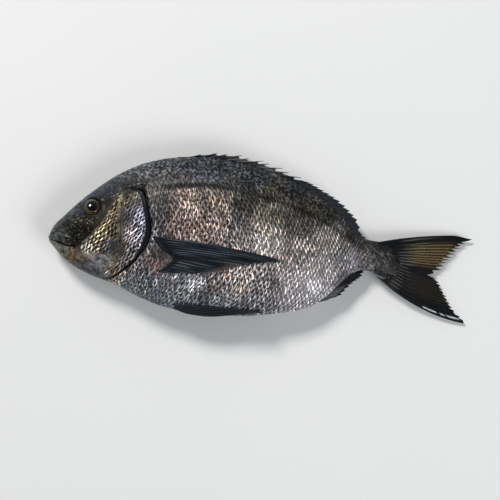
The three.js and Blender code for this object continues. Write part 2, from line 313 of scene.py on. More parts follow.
# Places in the side view (x and y), the skin's mean colour there (red, green and blue) and how strongly its
# scales stand out.
FACE_TONES = [
    (2, 2, 60, 62, 66, 0.1), (12, 13, 42, 44, 46, 0.1), (22, 28, 52, 58, 66, 0.1),
    (34, 43, 62, 70, 80, 0.1), (46, 50, 64, 69, 77, 0.2), (60, 59, 76, 78, 84, 0.5),
    (20, 10, 26, 27, 27, 0.2), (30, 14, 9, 10, 10, 0.2), (44, 15, 9, 10, 9, 0.3),
    (36, 7, 12, 12, 10, 0.3), (47, 30, 20, 24, 28, 0.2), (52, 42, 38, 42, 50, 0.2),
    (13, 1, 64, 73, 79, 0.1), (24, 2, 26, 27, 26, 0.3), (27, -3, 40, 38, 34, 0.4),
    (3, -6, 112, 112, 106, 0.1), (12, -12, 98, 92, 82, 0.3), (24, -14, 92, 77, 60, 0.6),
    (30, -22, 66, 66, 68, 0.2), (44, -28, 74, 74, 78, 0.3),
]
CHEEK_TONES = [
    (36, -6, 154, 146, 132, 1.9), (42, 3, 150, 138, 116, 2), (48, 14, 134, 118, 88, 2),
    (53, 27, 116, 98, 70, 2), (48, -8, 104, 98, 92, 1.6), (56, 10, 88, 78, 66, 1.6),
    (60, 34, 108, 96, 76, 1.8), (46, -18, 108, 109, 116, 0.7), (58, -4, 56, 57, 60, 0.4),
    (66, 48, 34, 33, 33, 0.3), (78, 51, 16, 17, 20, 0.2),
]
COVER_TONES = [
    (72, 38, 62, 56, 49, 1.6), (76, 44, 74, 67, 55, 1.6), (70, 30, 72, 70, 72, 1.6),
    (80, 24, 114, 115, 128, 1.7), (82, 10, 120, 119, 128, 1.7), (74, 10, 124, 118, 122, 1.7),
    (66, 22, 68, 63, 62, 1.5), (66, -4, 72, 66, 61, 1.5), (72, -12, 86, 82, 81, 1.6),
    (60, -24, 126, 117, 102, 1.5),
]
BACK_TONES = [
    (75, 68, 84, 85, 88, 0.8), (95, 72, 66, 69, 73, 0.9), (120, 76, 60, 64, 68, 1),
    (150, 75, 54, 57, 61, 1), (180, 69, 44, 47, 50, 1), (210, 60, 38, 39, 40, 1),
    (240, 44, 40, 38, 34, 1), (262, 24, 44, 43, 38, 1), (78, 58, 84, 82, 83, 0.9),
    (100, 61, 84, 82, 80, 1), (130, 66, 64, 66, 69, 1), (160, 63, 57, 57, 56, 1),
    (190, 55, 62, 58, 51, 1), (220, 43, 54, 49, 40, 1),
]
FLANK_TONES = [
    (93, 40, 58, 54, 52, 1), (96, 24, 54, 50, 50, 1), (114, 44, 112, 98, 92, 1.2),
    (114, 20, 106, 92, 88, 1.2), (140, 42, 104, 95, 88, 1.2), (140, 18, 110, 97, 93, 1.2),
    (165, 40, 58, 56, 54, 1.1), (165, 14, 106, 98, 98, 1.1), (190, 36, 96, 90, 81, 1.1),
    (190, 10, 154, 145, 140, 1), (215, 28, 80, 76, 72, 1), (215, 5, 134, 123, 120, 1),
    (238, 20, 122, 115, 109, 1), (235, -6, 158, 149, 147, 0.9), (254, 14, 112, 107, 104, 1),
    (262, 3, 142, 136, 140, 1),
]
BELLY_TONES = [
    (98, -8, 62, 58, 58, 0.6), (97, -17, 104, 88, 86, 0.5), (90, -26, 80, 82, 86, 1.1),
    (76, -34, 92, 94, 96, 1), (104, -30, 110, 110, 114, 1), (100, -45, 80, 85, 90, 1),
    (125, -30, 128, 128, 132, 1.1), (130, -47, 84, 88, 92, 1), (150, -28, 92, 86, 86, 1.2),
    (152, -46, 108, 108, 112, 1.1), (172, -22, 140, 130, 126, 1.3), (188, -28, 88, 84, 84, 1.3),
    (190, -44, 120, 119, 120, 1.1), (215, -20, 164, 154, 154, 0.9), (215, -38, 168, 160, 162, 0.9),
    (234, -28, 188, 181, 182, 0.85),
]
STEM_TONES = [
    (276, 9, 94, 90, 86, 0.9), (276, 19, 46, 47, 48, 0.7), (276, -1, 124, 119, 118, 0.9),
    (290, 8, 62, 60, 57, 0.9), (290, 18, 24, 25, 27, 0.5), (290, -5, 52, 50, 50, 0.9),
    (303, 3, 32, 31, 31, 0.8), (303, -10, 24, 24, 26, 0.4), (303, 15, 18, 19, 21, 0.4),
]
TONES = FACE_TONES + CHEEK_TONES + COVER_TONES + BACK_TONES + FLANK_TONES + BELLY_TONES + STEM_TONES
TONE_BLUR = 3  # how far one tone keeps its own colour


def tones(x, y):
    """The mean colour and the contrast at places in the side view, blended from the nearest tones."""
    colour = np.zeros(np.shape(x) + (3,))
    contrast = np.zeros(np.shape(x))
    total = np.zeros(np.shape(x))
    for place_x, place_y, *mean, strength in TONES:
        weight = 1 / ((x - place_x) ** 2 + (y - place_y) ** 2 + TONE_BLUR**2) ** 2
        colour += weight[..., None] * rgb(mean)
        contrast += weight * strength
        total += weight
    return colour / total[..., None], contrast / total


# ---------------------------------------------------------------- meshes

def make_piece(name, node, material, points, faces, looks):
    """One smooth closed mesh in the place of a node, with looks as vertex attributes for the material."""
    mesh = bpy.data.meshes.new(name)
    place = (points + np.array([SNOUT_X, BASE_Y, 0])) * MM
    mesh.from_pydata(place.tolist(), [], faces)
    for label, values in looks.items():
        layer = mesh.attributes.new(label, "FLOAT_VECTOR", "POINT")
        layer.data.foreach_set("vector", values.astype(np.float32).ravel())
    mesh.polygons.foreach_set("use_smooth", np.ones(len(mesh.polygons), bool))
    mesh.update()
    thing = bpy.data.objects.new(name, mesh)
    bpy.context.scene.collection.objects.link(thing)
    thing.data.materials.append(material)
    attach(thing, "root")
    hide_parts(node)


def grid_faces(rows, columns, wrap=False, start=0, flip=False):
    """Quads between neighbouring rows and columns of a grid of vertices."""
    i, j = np.meshgrid(np.arange(rows - 1), np.arange(columns if wrap else columns - 1), indexing="ij")
    beside = (j + 1) % columns
    corners = [i * columns + j, (i + 1) * columns + j, (i + 1) * columns + beside, i * columns + beside]
    faces = np.stack([corner.ravel() for corner in corners], -1) + start
    return faces[:, ::-1] if flip else faces


def volume(points, faces):
    """Six times the volume inside quads, and negative where they face in."""
    a, b, c, d = (points[faces[:, k]] for k in range(4))
    return (a * np.cross(b, c)).sum() + (a * np.cross(c, d)).sum()


def make_sheet(name, node, material, top, bottom, looks):
    """A closed thin piece between two grids of points, with the same looks on both."""
    rows, columns = top.shape[:2]
    count = rows * columns
    points = np.concatenate([top.reshape(-1, 3), bottom.reshape(-1, 3)])
    number = np.arange(count).reshape(rows, columns)
    rim = np.concatenate([number[0], number[1:, -1], number[-1, -2::-1], number[-2:0:-1, 0]])
    ahead = np.roll(rim, -1)
    wall = np.stack([rim, ahead, ahead + count, rim + count], -1)
    upper, lower = grid_faces(rows, columns), grid_faces(rows, columns, start=count, flip=True)
    faces = np.concatenate([upper, lower, wall])
    if volume(points, faces) < 0:
        faces = faces[:, ::-1]
    doubled = {label: np.tile(values.reshape(-1, 3), (2, 1)) for label, values in looks.items()}
    make_piece(name, node, material, points, faces.tolist(), doubled)


def surface_normals(points):
    """Unit normals of a grid of points, from its own rows and columns."""
    normal = np.cross(np.gradient(points, axis=0), np.gradient(points, axis=1))
    return normal / np.maximum(np.linalg.norm(normal, axis=-1, keepdims=True), 1e-9)


# ---------------------------------------------------------------- body

# The pitch of the body's mesh along the head and the trunk, and how many vertices each of its rings has.
HEAD_END = 92
HEAD_PITCH = 0.72
TRUNK_PITCH = 0.8
AROUND = 344


def body_stations():
    """Stations along x, close together where the outline is steep."""
    fine = np.linspace(0, 1, 6001) ** 2 * BODY_END
    slope = np.abs(np.gradient(back(fine), fine)) + np.abs(np.gradient(half_width(fine), fine))
    pitch = np.where(fine < HEAD_END, HEAD_PITCH, TRUNK_PITCH)
    along = np.concatenate([[0], np.cumsum(np.diff(fine) * np.hypot(1, slope[1:]) / pitch[1:])])
    count = int(along[-1])
    return np.interp(np.arange(1, count) / count * along[-1], along, fine)


def body_rings(stations):
    """The angle of each vertex, evenly spaced over the skin, and its distance above the lateral line."""
    half = AROUND // 2
    fine = np.linspace(0, math.pi, 721)
    section = skin(stations[:, None], fine[None, :])
    steps = np.linalg.norm(np.diff(section, axis=1), axis=-1)
    arcs = np.concatenate([np.zeros((len(stations), 1)), np.cumsum(steps, axis=1)], axis=1)
    line_angle = skin_angle(stations, lateral(stations), 1)
    angles = np.zeros((len(stations), AROUND))
    above = np.zeros((len(stations), AROUND))
    for i, arc in enumerate(arcs):
        even = np.linspace(0, arc[-1], half + 1)
        angle = np.interp(even, arc, fine)
        from_lateral = np.interp(line_angle[i], fine, arc) - even
        angles[i] = np.concatenate([angle, 2 * math.pi - angle[-2:0:-1]])
        above[i] = np.concatenate([from_lateral, from_lateral[-2:0:-1]])
    return angles, above


cover_rear = sampled(outline(COVER_REAR), 60)
cover_front = sampled(outline(COVER_FRONT), 60)


def inside_cover(x, y):
    """How far inside the gill cover's outline a place is, and negative outside it."""
    behind_front = from_line(x, y, cover_front)
    before_rear = -from_line(x, y, cover_rear)
    below_top = -from_line(x, y, [cover_front[0], cover_rear[0]])
    above_end = from_line(x, y, [cover_front[-1], cover_rear[-1]])
    return np.minimum(np.minimum(behind_front, before_rear), np.minimum(below_top, above_end))


def jaw_bone(x, y):
    """The upper jaw bone, an oval that slips under the cheek: below 1 inside it."""
    middle = (14.5, -0.5)
    turn = math.radians(-23)
    ahead, up = x - middle[0], y - middle[1]
    along = ahead * math.cos(turn) + up * math.sin(turn)
    across = up * math.cos(turn) - ahead * math.sin(turn)
    return np.hypot(along / 9.5, across / 4)


def jaw_relief(x, y):
    """Two lips that fade backwards, the gape between them and the upper jaw bone."""
    gape = from_line(x, y, MOUTH)
    lips = 0.6 * (hump(gape - 1.8, 1.3) + hump(gape + 1.8, 1.4)) * fade(15, 23, x)
    cut = 1.5 * hump(gape, 0.55) * fade(*MOUTH_CORNER, x)
    bone = jaw_bone(x, y)
    return lips - cut + 0.7 * fade(0.75, 1.05, bone) - 0.5 * hump(bone - 1.12, 0.09)


def cheek_relief(x, y):
    """The bone under the eye, the cheek muscle, and the ridge and groove in front of the gill cover."""
    under_eye = from_line(x, y, [(12, 14), (24, 13), (38, 12), (50, 20)])
    corner = from_line(x, y, cover_front)
    ridge = hump(corner + 4.5, 3.4) * within(y, (-30, -22), (12, 26))
    groove = hump(corner + 9.5, 1.2) * within(y, (-22, -16), (6, 16))
    return 0.7 * hump(under_eye, 5) + 0.7 * ridge + 0.6 * hump(from_place(x, y, (47, 6)), 12) - 0.5 * groove


def gill_relief(x, y):
    """The bed of the gill cover, the slit behind it, and the groove from the eye to the top of the slit."""
    groove = hump(from_line(x, y, [(46, 35), (54, 42), (64, 46), (78, 50.5)]), 1.4)
    inside = inside_cover(x, y)
    slit = hump(from_line(x, y, cover_rear) - 0.6, 1.3) * smooth(-34, -30, y) * (inside < 0.4)
    return -0.7 * groove - 2.6 * smooth(-0.2, 1.2, inside) - 1.5 * slit


def head_relief(x, y):
    """The shape of the face and the shoulder, in millimetres outwards."""
    from_eye = from_place(x, y, EYE) - EYE_RADIUS
    relief = 0.2 * hump(from_eye - 1.4, 1.8) - 4.5 * fade(-0.8, 0.2, from_eye)
    for nostril in NOSTRILS:
        hole = from_place(x, y, nostril)
        relief += 0.35 * hump(hole - 1.4, 0.6) - 1.3 * hump(hole, 0.8)
    # The fleshy root of the pectoral fin.
    relief += 1.4 * hump(np.hypot((x - 98) / 7, (y + 10) / 9), 1)
    return relief + jaw_relief(x, y) + cheek_relief(x, y) + gill_relief(x, y)


def body_masks(x, y):
    """How far the trunk's scales cover a place and how far the cheek's do, and whether it is on the face."""
    nape = from_line(x, y, [(30, 36), (48, 37.5), (56, 42), (66, 46.5), (90, 52)])
    behind_cover = from_line(x, y, cover_rear)
    face = (nape < 0) & (behind_cover < -0.5)
    cheek = smooth(-1, 1, from_line(x, y, CHEEK_FRONT)) * fade(-3, -0.8, from_line(x, y, cover_front)) * face
    cheek *= 1 - 0.8 * fade(-13, -8, y)
    scaled_nape = np.where(y > 0, smooth(40, 54, x + 0.35 * (y - 45)), 1)
    trunk = np.where(face, 0, scaled_nape * smooth(-0.5, 2, np.maximum(nape, behind_cover)))
    return trunk, cheek, face


def trunk_lattice(x, y, above):
    """Lattice coordinates on the trunk: columns of scales that bow towards the tail, and rows along the
    lateral line, both a little uneven."""
    fine = np.linspace(0, BODY_END, 1200)
    columns = np.interp(x, fine, np.concatenate([[0], np.cumsum(np.diff(fine) / scale_length(fine)[1:])]))
    row_height = ROW_HEIGHT * np.clip((back(x) - belly(x)) / TRUNK_DEPTH, 0.1, 1) ** 0.35
    bow = COLUMN_BOW * (above + BOW_LEVEL) ** 2
    s = columns + bow + 0.25 * wander(x, y, 14, 1) + 0.05 * wander(x, y, 4, 2)
    t = above / row_height + 0.3 * wander(x, y, 15, 3) + 0.1 * wander(x, y, 5, 4)
    return s + TRUNK_START[0], t + TRUNK_START[1]


def lateral_line_shade(x, above, s, trunk):
    """How dark the lateral line is: a dash on each scale, faint towards the tail."""
    dashes = 0.75 + 0.25 * np.cos(2 * math.pi * s)
    front = 2.6 * hump(above, 2.4) * dashes * smooth(78, 84, x) * (1 - 0.8 * smooth(112, 165, x))
    rear = 0.35 * hump(above, 2.2) * within(x, (140, 160), (230, 280))
    return (front + rear) * trunk


def body_tones(x, y, above, s, trunk):
    """The skin's mean colour and contrast, with the dark lateral line and black skin around the eye, and
    painted shade in the mouth's gape, along the gill slit, just behind the gill cover, in the nostrils,
    around the eye and around the upper jaw bone.
    """
    colour, contrast = tones(x, y)
    # Painted shade in the gape between the lips.
    gape = hump(from_line(x, y, MOUTH), 0.8) * fade(*MOUTH_CORNER, x)
    gap = from_line(x, y, cover_rear)
    # Painted shade along the gill slit, and a dark spot where the opening ends above.
    slit = hump(gap - 0.4, 1.5) * smooth(-36, -30, y) + hump(from_place(x, y, GILL_TOP), 5)
    # Painted shadow of the gill cover's edge on the shoulder just behind it.
    behind_cover = fade(0, 1.6, gap) * (gap > -1) * within(y, (-20, -4), (42, 50))
    # Painted shade in the nostrils' pits.
    nostrils = sum(hump(from_place(x, y, nostril), 0.9) for nostril in NOSTRILS)
    # Painted shade in the crease around the eye.
    orbit = hump(from_place(x, y, EYE) - EYE_RADIUS, 1.1)
    # Painted shade along the groove where the upper jaw bone slips under the cheek.
    under_jaw_bone = hump(jaw_bone(x, y) - 1.1, 0.1)
    # dark adds the lateral line's own dark dashes to the painted shade above.
    dark = 0.85 * lateral_line_shade(x, above, s, trunk) + 0.9 * gape + 0.95 * slit
    dark += 0.8 * (behind_cover + nostrils + orbit) + 0.7 * under_jaw_bone
    behind_eye = from_line(x, y, CHEEK_FRONT)
    black_skin = 0.85 * within(behind_eye, (-24, -12), (-1.5, 1)) * within(y, (-8, -2), (34, 44))
    light = (1 - np.clip(dark, 0, 0.96)) * (1 - black_skin)
    return colour * light[..., None], contrast


def skin_look(x, y, above, face, cheek):
    """How far scales show as spots, how speckled the skin is, and how much the bare face shines."""
    spots = np.where(face, 0.9, np.maximum(smooth(150, 235, x), smooth(-6, 10, above)))
    speckle = np.where(face, 1 - cheek, np.maximum(smooth(-8, 16, above), 0.8 * smooth(255, 280, x)))
    shine = 0.08 + 0.3 * face * fade(38, 50, x) * smooth(-24, -8, y)
    return np.stack([spots, speckle, shine], -1)


def golden_flecks_and_glints(x, y):
    """How thick the golden flecks lie, partly the skin's gold and partly painted glints: before the eye, on
    the lip, over the gill cover and on the chin.
    """
    before_eye = 0.9 * hump(np.hypot((x - 33) / 13, (y - 14) / 6), 1)
    lip = 0.45 * hump(np.hypot((x - 20) / 9, (y - 2) / 7), 1)
    over_cover = 1.2 * hump(from_line(x, y, [(52, 39), (62, 43.5), (76, 48)]), 2)
    chin = 0.5 * hump(from_place(x, y, (26, -15)), 9)
    return before_eye + lip + over_cover + chin


def make_body(material):
    stations = body_stations()
    angles, above = body_rings(stations)
    x = np.repeat(stations[:, None], AROUND, axis=1)
    points = skin(x, angles)
    normals = skin_normal(x, angles)
    y = points[..., 1]
    trunk, cheek, face = body_masks(x, y)
    scaled = trunk + cheek
    trunk_s, trunk_t = trunk_lattice(x, y, above)
    cheek_s, cheek_t = cheek_lattice(x, y)
    s, t = np.where(face, cheek_s, trunk_s), np.where(face, cheek_t, trunk_t)

    height = np.where(face, SCALE_HEIGHT, 0.1 + 0.05 * scale_length(x))
    lift = height * scaled * scale_relief(s, t)
    lift += 0.1 * hump(above, 0.9) * trunk * smooth(84, 92, x)
    lift += head_relief(x, y) * np.abs(np.sin(angles)) ** 0.4
    points = points + normals * lift[..., None]
    points[..., 2] = np.maximum(points[..., 2], 0)

    colour, contrast = body_tones(x, y, above, trunk_s, trunk)
    looks = {
        "lattice": np.stack([s, t, scaled * contrast], -1),
        "tone": colour,
        "look": skin_look(x, y, above, face, cheek),
        "gold": np.stack([golden_flecks_and_glints(x, y) * face, 0 * x, 0 * x], -1),
    }
    # One vertex closes the rings at the snout and one at the tail, with the looks of the ring beside it.
    snout = [[0, 0, middle_height(0)]]
    tail = [[BODY_END + 0.3, widest(BODY_END), middle_height(BODY_END)]]
    vertices = np.concatenate([snout, points.reshape(-1, 3), tail])
    last = len(vertices) - 1
    faces = grid_faces(len(stations), AROUND, wrap=True, start=1, flip=True).tolist()
    for k in range(AROUND):
        after = (k + 1) % AROUND
        faces.append([1 + after, 1 + k, 0])
        faces.append([last - AROUND + k, last - AROUND + after, last])
    for label, values in looks.items():
        flat = values.reshape(-1, 3)
        looks[label] = np.concatenate([flat[:1], flat, flat[-1:]])
    make_piece("body_skin", "body", material, vertices, faces, looks)


# ---------------------------------------------------------------- gill covers and eyes

# How wide the soft dark edge of the gill cover is, by how far down its rear outline a place lies: a dark
# membrane with painted shadow on it.
SOFT_EDGE = [(0, 2.6), (0.1, 3.2), (0.35, 3.6), (0.5, 4.4), (0.6, 3.2), (0.7, 1.4), (1, 1.2)]


def make_gill_cover(side, name, material):
    rear, front = outline(COVER_REAR), outline(COVER_FRONT)
    down, across = np.meshgrid(np.linspace(0, 1, 170), np.linspace(0, 1, 80), indexing="ij")
    (x0, y0), (x1, y1) = front(down), rear(down)
    x, y = x0 + (x1 - x0) * across, y0 + (y1 - y0) * across
    s, t = cheek_lattice(x, y)
    s = s / COVER_SHARE
    colour, contrast = tones(x, y)
    to_rear = np.hypot(x1 - x0, y1 - y0) * (1 - across)
    soft = fade(-0.8, 0.5, to_rear - curve(SOFT_EDGE)(down))
    scaled = smooth(0.08, 0.2, across) * (1 - soft)

    # The plate rises from under the cheek to its free edge, and its soft edge lies down on the shoulder.
    rim = fade(0.95, 1, across)
    ends = within(down, (0, 0.05), (0.95, 1))
    lift = -0.9 + 1.9 * smooth(0, 0.35, across) - 0.5 * soft * smooth(0, 2.5, 4 - to_rear)
    lift = (lift + SCALE_HEIGHT * scale_relief(s, t) * scaled) * (0.3 + 0.7 * rim) * (0.2 + 0.8 * ends)
    top = over_skin(x, y, side, lift)
    under = over_skin(x, y, side, np.full(np.shape(x), -1.3) * (0.25 + 0.75 * rim))
    under[..., 2] = np.where(side > 0, np.minimum(under[..., 2], top[..., 2] - 0.1), under[..., 2])
    # Painted shade along the cover's front edge, where it meets the cheek.
    colour = colour * (1 - 0.9 * fade(0.015, 0.06, across))[..., None]
    # The soft edge's near-black is partly the dark membrane's own colour and partly painted shadow.
    colour = blend(colour, rgb((17, 22, 28)), soft)
    lattice = np.stack([s, t, scaled * contrast], -1)
    look = np.stack([0.6 + 0 * x, 0 * x, 0.15 * (1 - soft)], -1)
    looks = {"lattice": lattice, "tone": colour, "look": look, "gold": 0 * look}
    make_sheet(f"gill_cover_skin_{name}", f"gill_cover_{name}", material, top, under, looks)


EYE_TILT = 0.3  # radians, towards the back
EYE_DEPTH = 3.4  # half the eyeball's thickness, without the cornea
EYE_SINK = 2  # how far the eyeball's middle lies under the skin
CORNEA = 0.5  # how far the clear cornea stands out of the ball


def make_eye(side, name, material):
    rings, around = 48, 64
    polar = np.linspace(0.02, math.pi - 0.02, rings)[:, None]
    turn = np.linspace(0, 2 * math.pi, around, endpoint=False)[None, :]
    radius = EYE_RADIUS * np.sin(polar)
    depth = EYE_DEPTH * np.cos(polar) + CORNEA * smooth(0.45, 1, np.cos(polar))
    local = np.stack([radius * np.cos(turn), radius * np.sin(turn), depth + 0 * turn], -1)
    y, z = local[..., 1].copy(), local[..., 2].copy()
    local[..., 1] = y * math.cos(EYE_TILT) + z * math.sin(EYE_TILT)
    local[..., 2] = side * (z * math.cos(EYE_TILT) - y * math.sin(EYE_TILT))
    base = over_skin(*np.array(EYE), side, 0)
    centre = np.array([EYE[0], EYE[1] - EYE_SINK * math.sin(EYE_TILT), base[2] - side * EYE_SINK])
    points = (local + centre).reshape(-1, 3)
    faces = grid_faces(rings, around, wrap=True).tolist()
    faces += [list(range(around)), list(range((rings - 1) * around, rings * around))[::-1]]
    iris = np.stack([radius * np.cos(turn), radius * np.sin(turn), polar + 0 * turn], -1).reshape(-1, 3)
    if side < 0:
        faces = [corners[::-1] for corners in faces]
    make_piece(f"eyeball_{name}", f"eye_{name}", material, points, faces, {"iris": iris})


# ---------------------------------------------------------------- fins

def ridges(position, count, sharp=1.5):
    """0 between rays and 1 along them, for count rays over positions of 0 to 1."""
    return (0.5 + 0.5 * np.cos(2 * math.pi * (position * count - 0.5))) ** sharp


def branching(position, along, count):
    """Rays that split in two, and in two again, on the way to the fin's edge."""
    split, split_again = smooth(0.3, 0.45, along), smooth(0.62, 0.75, along)
    single, double, quadruple = (ridges(position, count * n, 1.2) for n in (1, 2, 4))
    return single * (1 - split) + (double * (1 - split_again) + quadruple * split_again) * split


def teeth(position, count, sharp=1):
    """0 at the rays' tips and 1 in the notches between them."""
    return np.abs(2 * np.mod(position * count, 1) - 1) ** sharp


def make_fin(node, label, material, middle, thickness, ray, along, colour):
    """A fin around a grid of middle points, for rays that show where ray is 1, in a colour for each point."""
    half = (0.5 * thickness)[..., None] * surface_normals(middle)
    top, bottom = middle + half, middle - half
    for face in (top, bottom):
        face[..., 2] = np.maximum(face[..., 2], 0.02)
    looks = {"ray": np.stack([ray, along, 0 * ray], -1), "tone": colour}
    make_sheet(label, node, material, top, bottom, looks)


def grid(rows, columns):
    """Places on a fin: 0 to 1 from its first ray to its last, and 0 to 1 from a ray's root to its tip."""
    return np.meshgrid(np.linspace(0, 1, rows), np.linspace(0, 1, columns), indexing="ij")


def folded_rays(line, base, depth, u, fold, reach):
    """The x and y of places at reach along rays that lean by fold degrees from the back or belly line."""
    step = 0.5
    root = np.interp(u, (0, 1), base)
    slope = np.arctan2(line(root + step) - line(root - step), 2 * step)
    inward = -np.sign(line(root)) * depth
    lean = slope + np.radians(fold)
    x = root - np.sin(slope) * inward + np.cos(lean) * reach
    y = line(root) + np.cos(slope) * inward + np.sin(lean) * reach
    return x, y


# Where the dorsal fin starts and ends, and how deep its root lies in the back. Then, by place along the fin,
# how many degrees its rays stand up from the back, and their length.
DORSAL_BASE = (98, 267)
DORSAL_DEPTH = 2.6
DORSAL_FOLD = [
    (0, 16), (0.06, 12.5), (0.15, 12), (0.25, 13.5), (0.42, 13.5), (0.5, 12.5), (0.56, 13), (0.63, 16.5),
    (0.73, 23.5), (0.83, 28), (0.9, 33), (1, 28),
]
DORSAL_RAY = [(0, 9), (0.06, 22), (0.15, 27), (0.3, 30), (0.5, 30), (0.63, 25), (0.8, 23), (0.92, 17), (1, 9)]
SPINES = 11
SPINY_SHARE = 0.56
SOFT_DORSAL_RAYS = 14


def make_dorsal_fin(material):
    u, v = grid(560, 30)
    spiny = fade(SPINY_SHARE - 0.01, SPINY_SHARE + 0.01, u)
    spine_place = np.mod(u / SPINY_SHARE * SPINES, 1)
    soft_place = (u - SPINY_SHARE) / (1 - SPINY_SHARE)
    from_spine = np.minimum(spine_place, 1 - spine_place)
    # Behind each spine the membrane starts short of its tip, and each second spine is folded down further.
    spine_notch = within(spine_place, (0.05, 0.16), (0.9, 0.98))
    spine_notch *= 0.12 + 0.12 * spine_place + 0.1 * smooth(0.2, 0.45, u)
    spine_notch += 0.05 * (1 - np.cos(math.pi * u / SPINY_SHARE * SPINES))
    soft_notch = 0.17 * teeth(soft_place, SOFT_DORSAL_RAYS) + 0.05 * teeth(soft_place, 3 * SOFT_DORSAL_RAYS)
    reach = curve(DORSAL_RAY)(u) * (1 - spiny * spine_notch - (1 - spiny) * soft_notch) * v
    x, y = folded_rays(back, DORSAL_BASE, DORSAL_DEPTH, u, curve(DORSAL_FOLD)(u), reach)
    spine = hump(from_spine, 0.11)
    soft = branching(soft_place, v * 0.7, SOFT_DORSAL_RAYS)
    ray = spiny * spine + (1 - spiny) * soft
    # Ray by ray the fin lies a little higher or lower, like a half-shut fan.
    pleat = (0.8 * spiny + 0.4) * np.cos(2 * math.pi * u / SPINY_SHARE * SPINES) * v
    z = middle_height(x) + 1.2 + pleat
    thickness = (0.3 + (0.7 + 0.7 * spiny) * ray * (1 - 0.7 * v)) * (1 - 0.55 * v)
    membrane = spiny * (1 - spine) * smooth(0.35, 0.6, v) * within(u, (0.08, 0.2), (0.5, 0.56))
    membrane *= 0.6 + 0.4 * np.sin(41 * u + 3)
    colour = blend(rgb((20, 25, 31)), rgb((50, 56, 62)), 0.25 + 0.5 * soft * (1 - spiny))
    colour = blend(colour, rgb((128, 124, 126)), membrane)
    middle = np.stack([x, y, z], -1)
    make_fin("dorsal_fin", "dorsal_fin_rays", material, middle, thickness, ray, v, colour)


ANAL_BASE = (231, 268)
ANAL_DEPTH = 2.2
ANAL_FOLD = [(0, 14), (0.3, 24), (0.7, 29), (1, 16)]
ANAL_RAY = [(0, 13), (0.15, 21), (0.5, 23), (0.8, 18), (1, 9)]
ANAL_RAYS = 13


def make_anal_fin(material):
    u, v = grid(240, 24)
    reach = curve(ANAL_RAY)(u) * (1 - 0.16 * teeth(u, ANAL_RAYS)) * v
    x, y = folded_rays(belly, ANAL_BASE, ANAL_DEPTH, u, -curve(ANAL_FOLD)(u), reach)
    ray = ridges(u, ANAL_RAYS)
    thickness = (0.35 + 1.2 * ray * (1 - 0.6 * v)) * (1 - 0.5 * v)
    z = middle_height(x) + 0.5 * np.sin(2 * math.pi * u * ANAL_RAYS) * v
    membrane = within(u, (0.02, 0.1), (0.3, 0.5)) * (1 - 0.6 * ray) * fade(0.75, 0.9, v)
    colour = blend(rgb((14, 19, 25)), rgb((112, 116, 124)), membrane)
    middle = np.stack([x, y, z], -1)
    make_fin("anal_fin", "anal_fin_rays", material, middle, thickness, ray, v, colour)


TAIL_RAYS = 17
# The ends of the tail's rays, from the upper edge (0) to the lower edge (1).
TAIL_ROOT_X = [(0, 284), (0.06, 293), (0.2, 297), (0.5, 298.6), (0.8, 297), (0.94, 292), (1, 286)]
TAIL_ROOT_Y = [(0, 20.6), (0.06, 18.4), (0.2, 13), (0.5, 3), (0.8, -7), (0.94, -11), (1, -9.4)]
TAIL_TIP_X = [
    (0, 367), (0.06, 362), (0.25, 353.5), (0.4, 346), (0.47, 339.5), (0.5, 334.5), (0.55, 341.5),
    (0.65, 345.5), (0.75, 350), (0.88, 356.6), (0.95, 363.4), (0.98, 366), (1, 366.2),
]
TAIL_TIP_Y = [
    (0, 33.2), (0.06, 28.6), (0.25, 15), (0.4, 5), (0.47, -1.2), (0.5, -4.2), (0.55, -8.5), (0.65, -15.4),
    (0.75, -22.3), (0.88, -31.6), (0.95, -38), (0.98, -41), (1, -43.4),
]


def tail_colour(u, v):
    """Black, olive between the rays, and a broken painted white highlight along the lower lobe's wet edge."""
    upper = within(u, (0.06, 0.14), (0.38, 0.46))
    lower = within(u, (0.52, 0.6), (0.8, 0.9))
    between_rays = (1 - ridges(u, 1.5 * TAIL_RAYS, 0.7)) * smooth(0.12, 0.5, v)
    olive = (upper + 0.12 * lower) * between_rays * (1 - 0.7 * smooth(0.88, 1, v))
    colour = blend(rgb((13, 15, 17)), rgb((116, 100, 62)), olive)
    # Painted highlight: a white line along the lower lobe's edge, where its wet film would catch the light.
    wet = hump(u - 0.972, 0.007) * within(v, (0.45, 0.55), (0.93, 0.98))
    broken = smooth(-1.3, -0.1, np.sin(60 * v) + np.sin(23 * v))
    return blend(colour, rgb((215, 220, 226)), wet * broken)


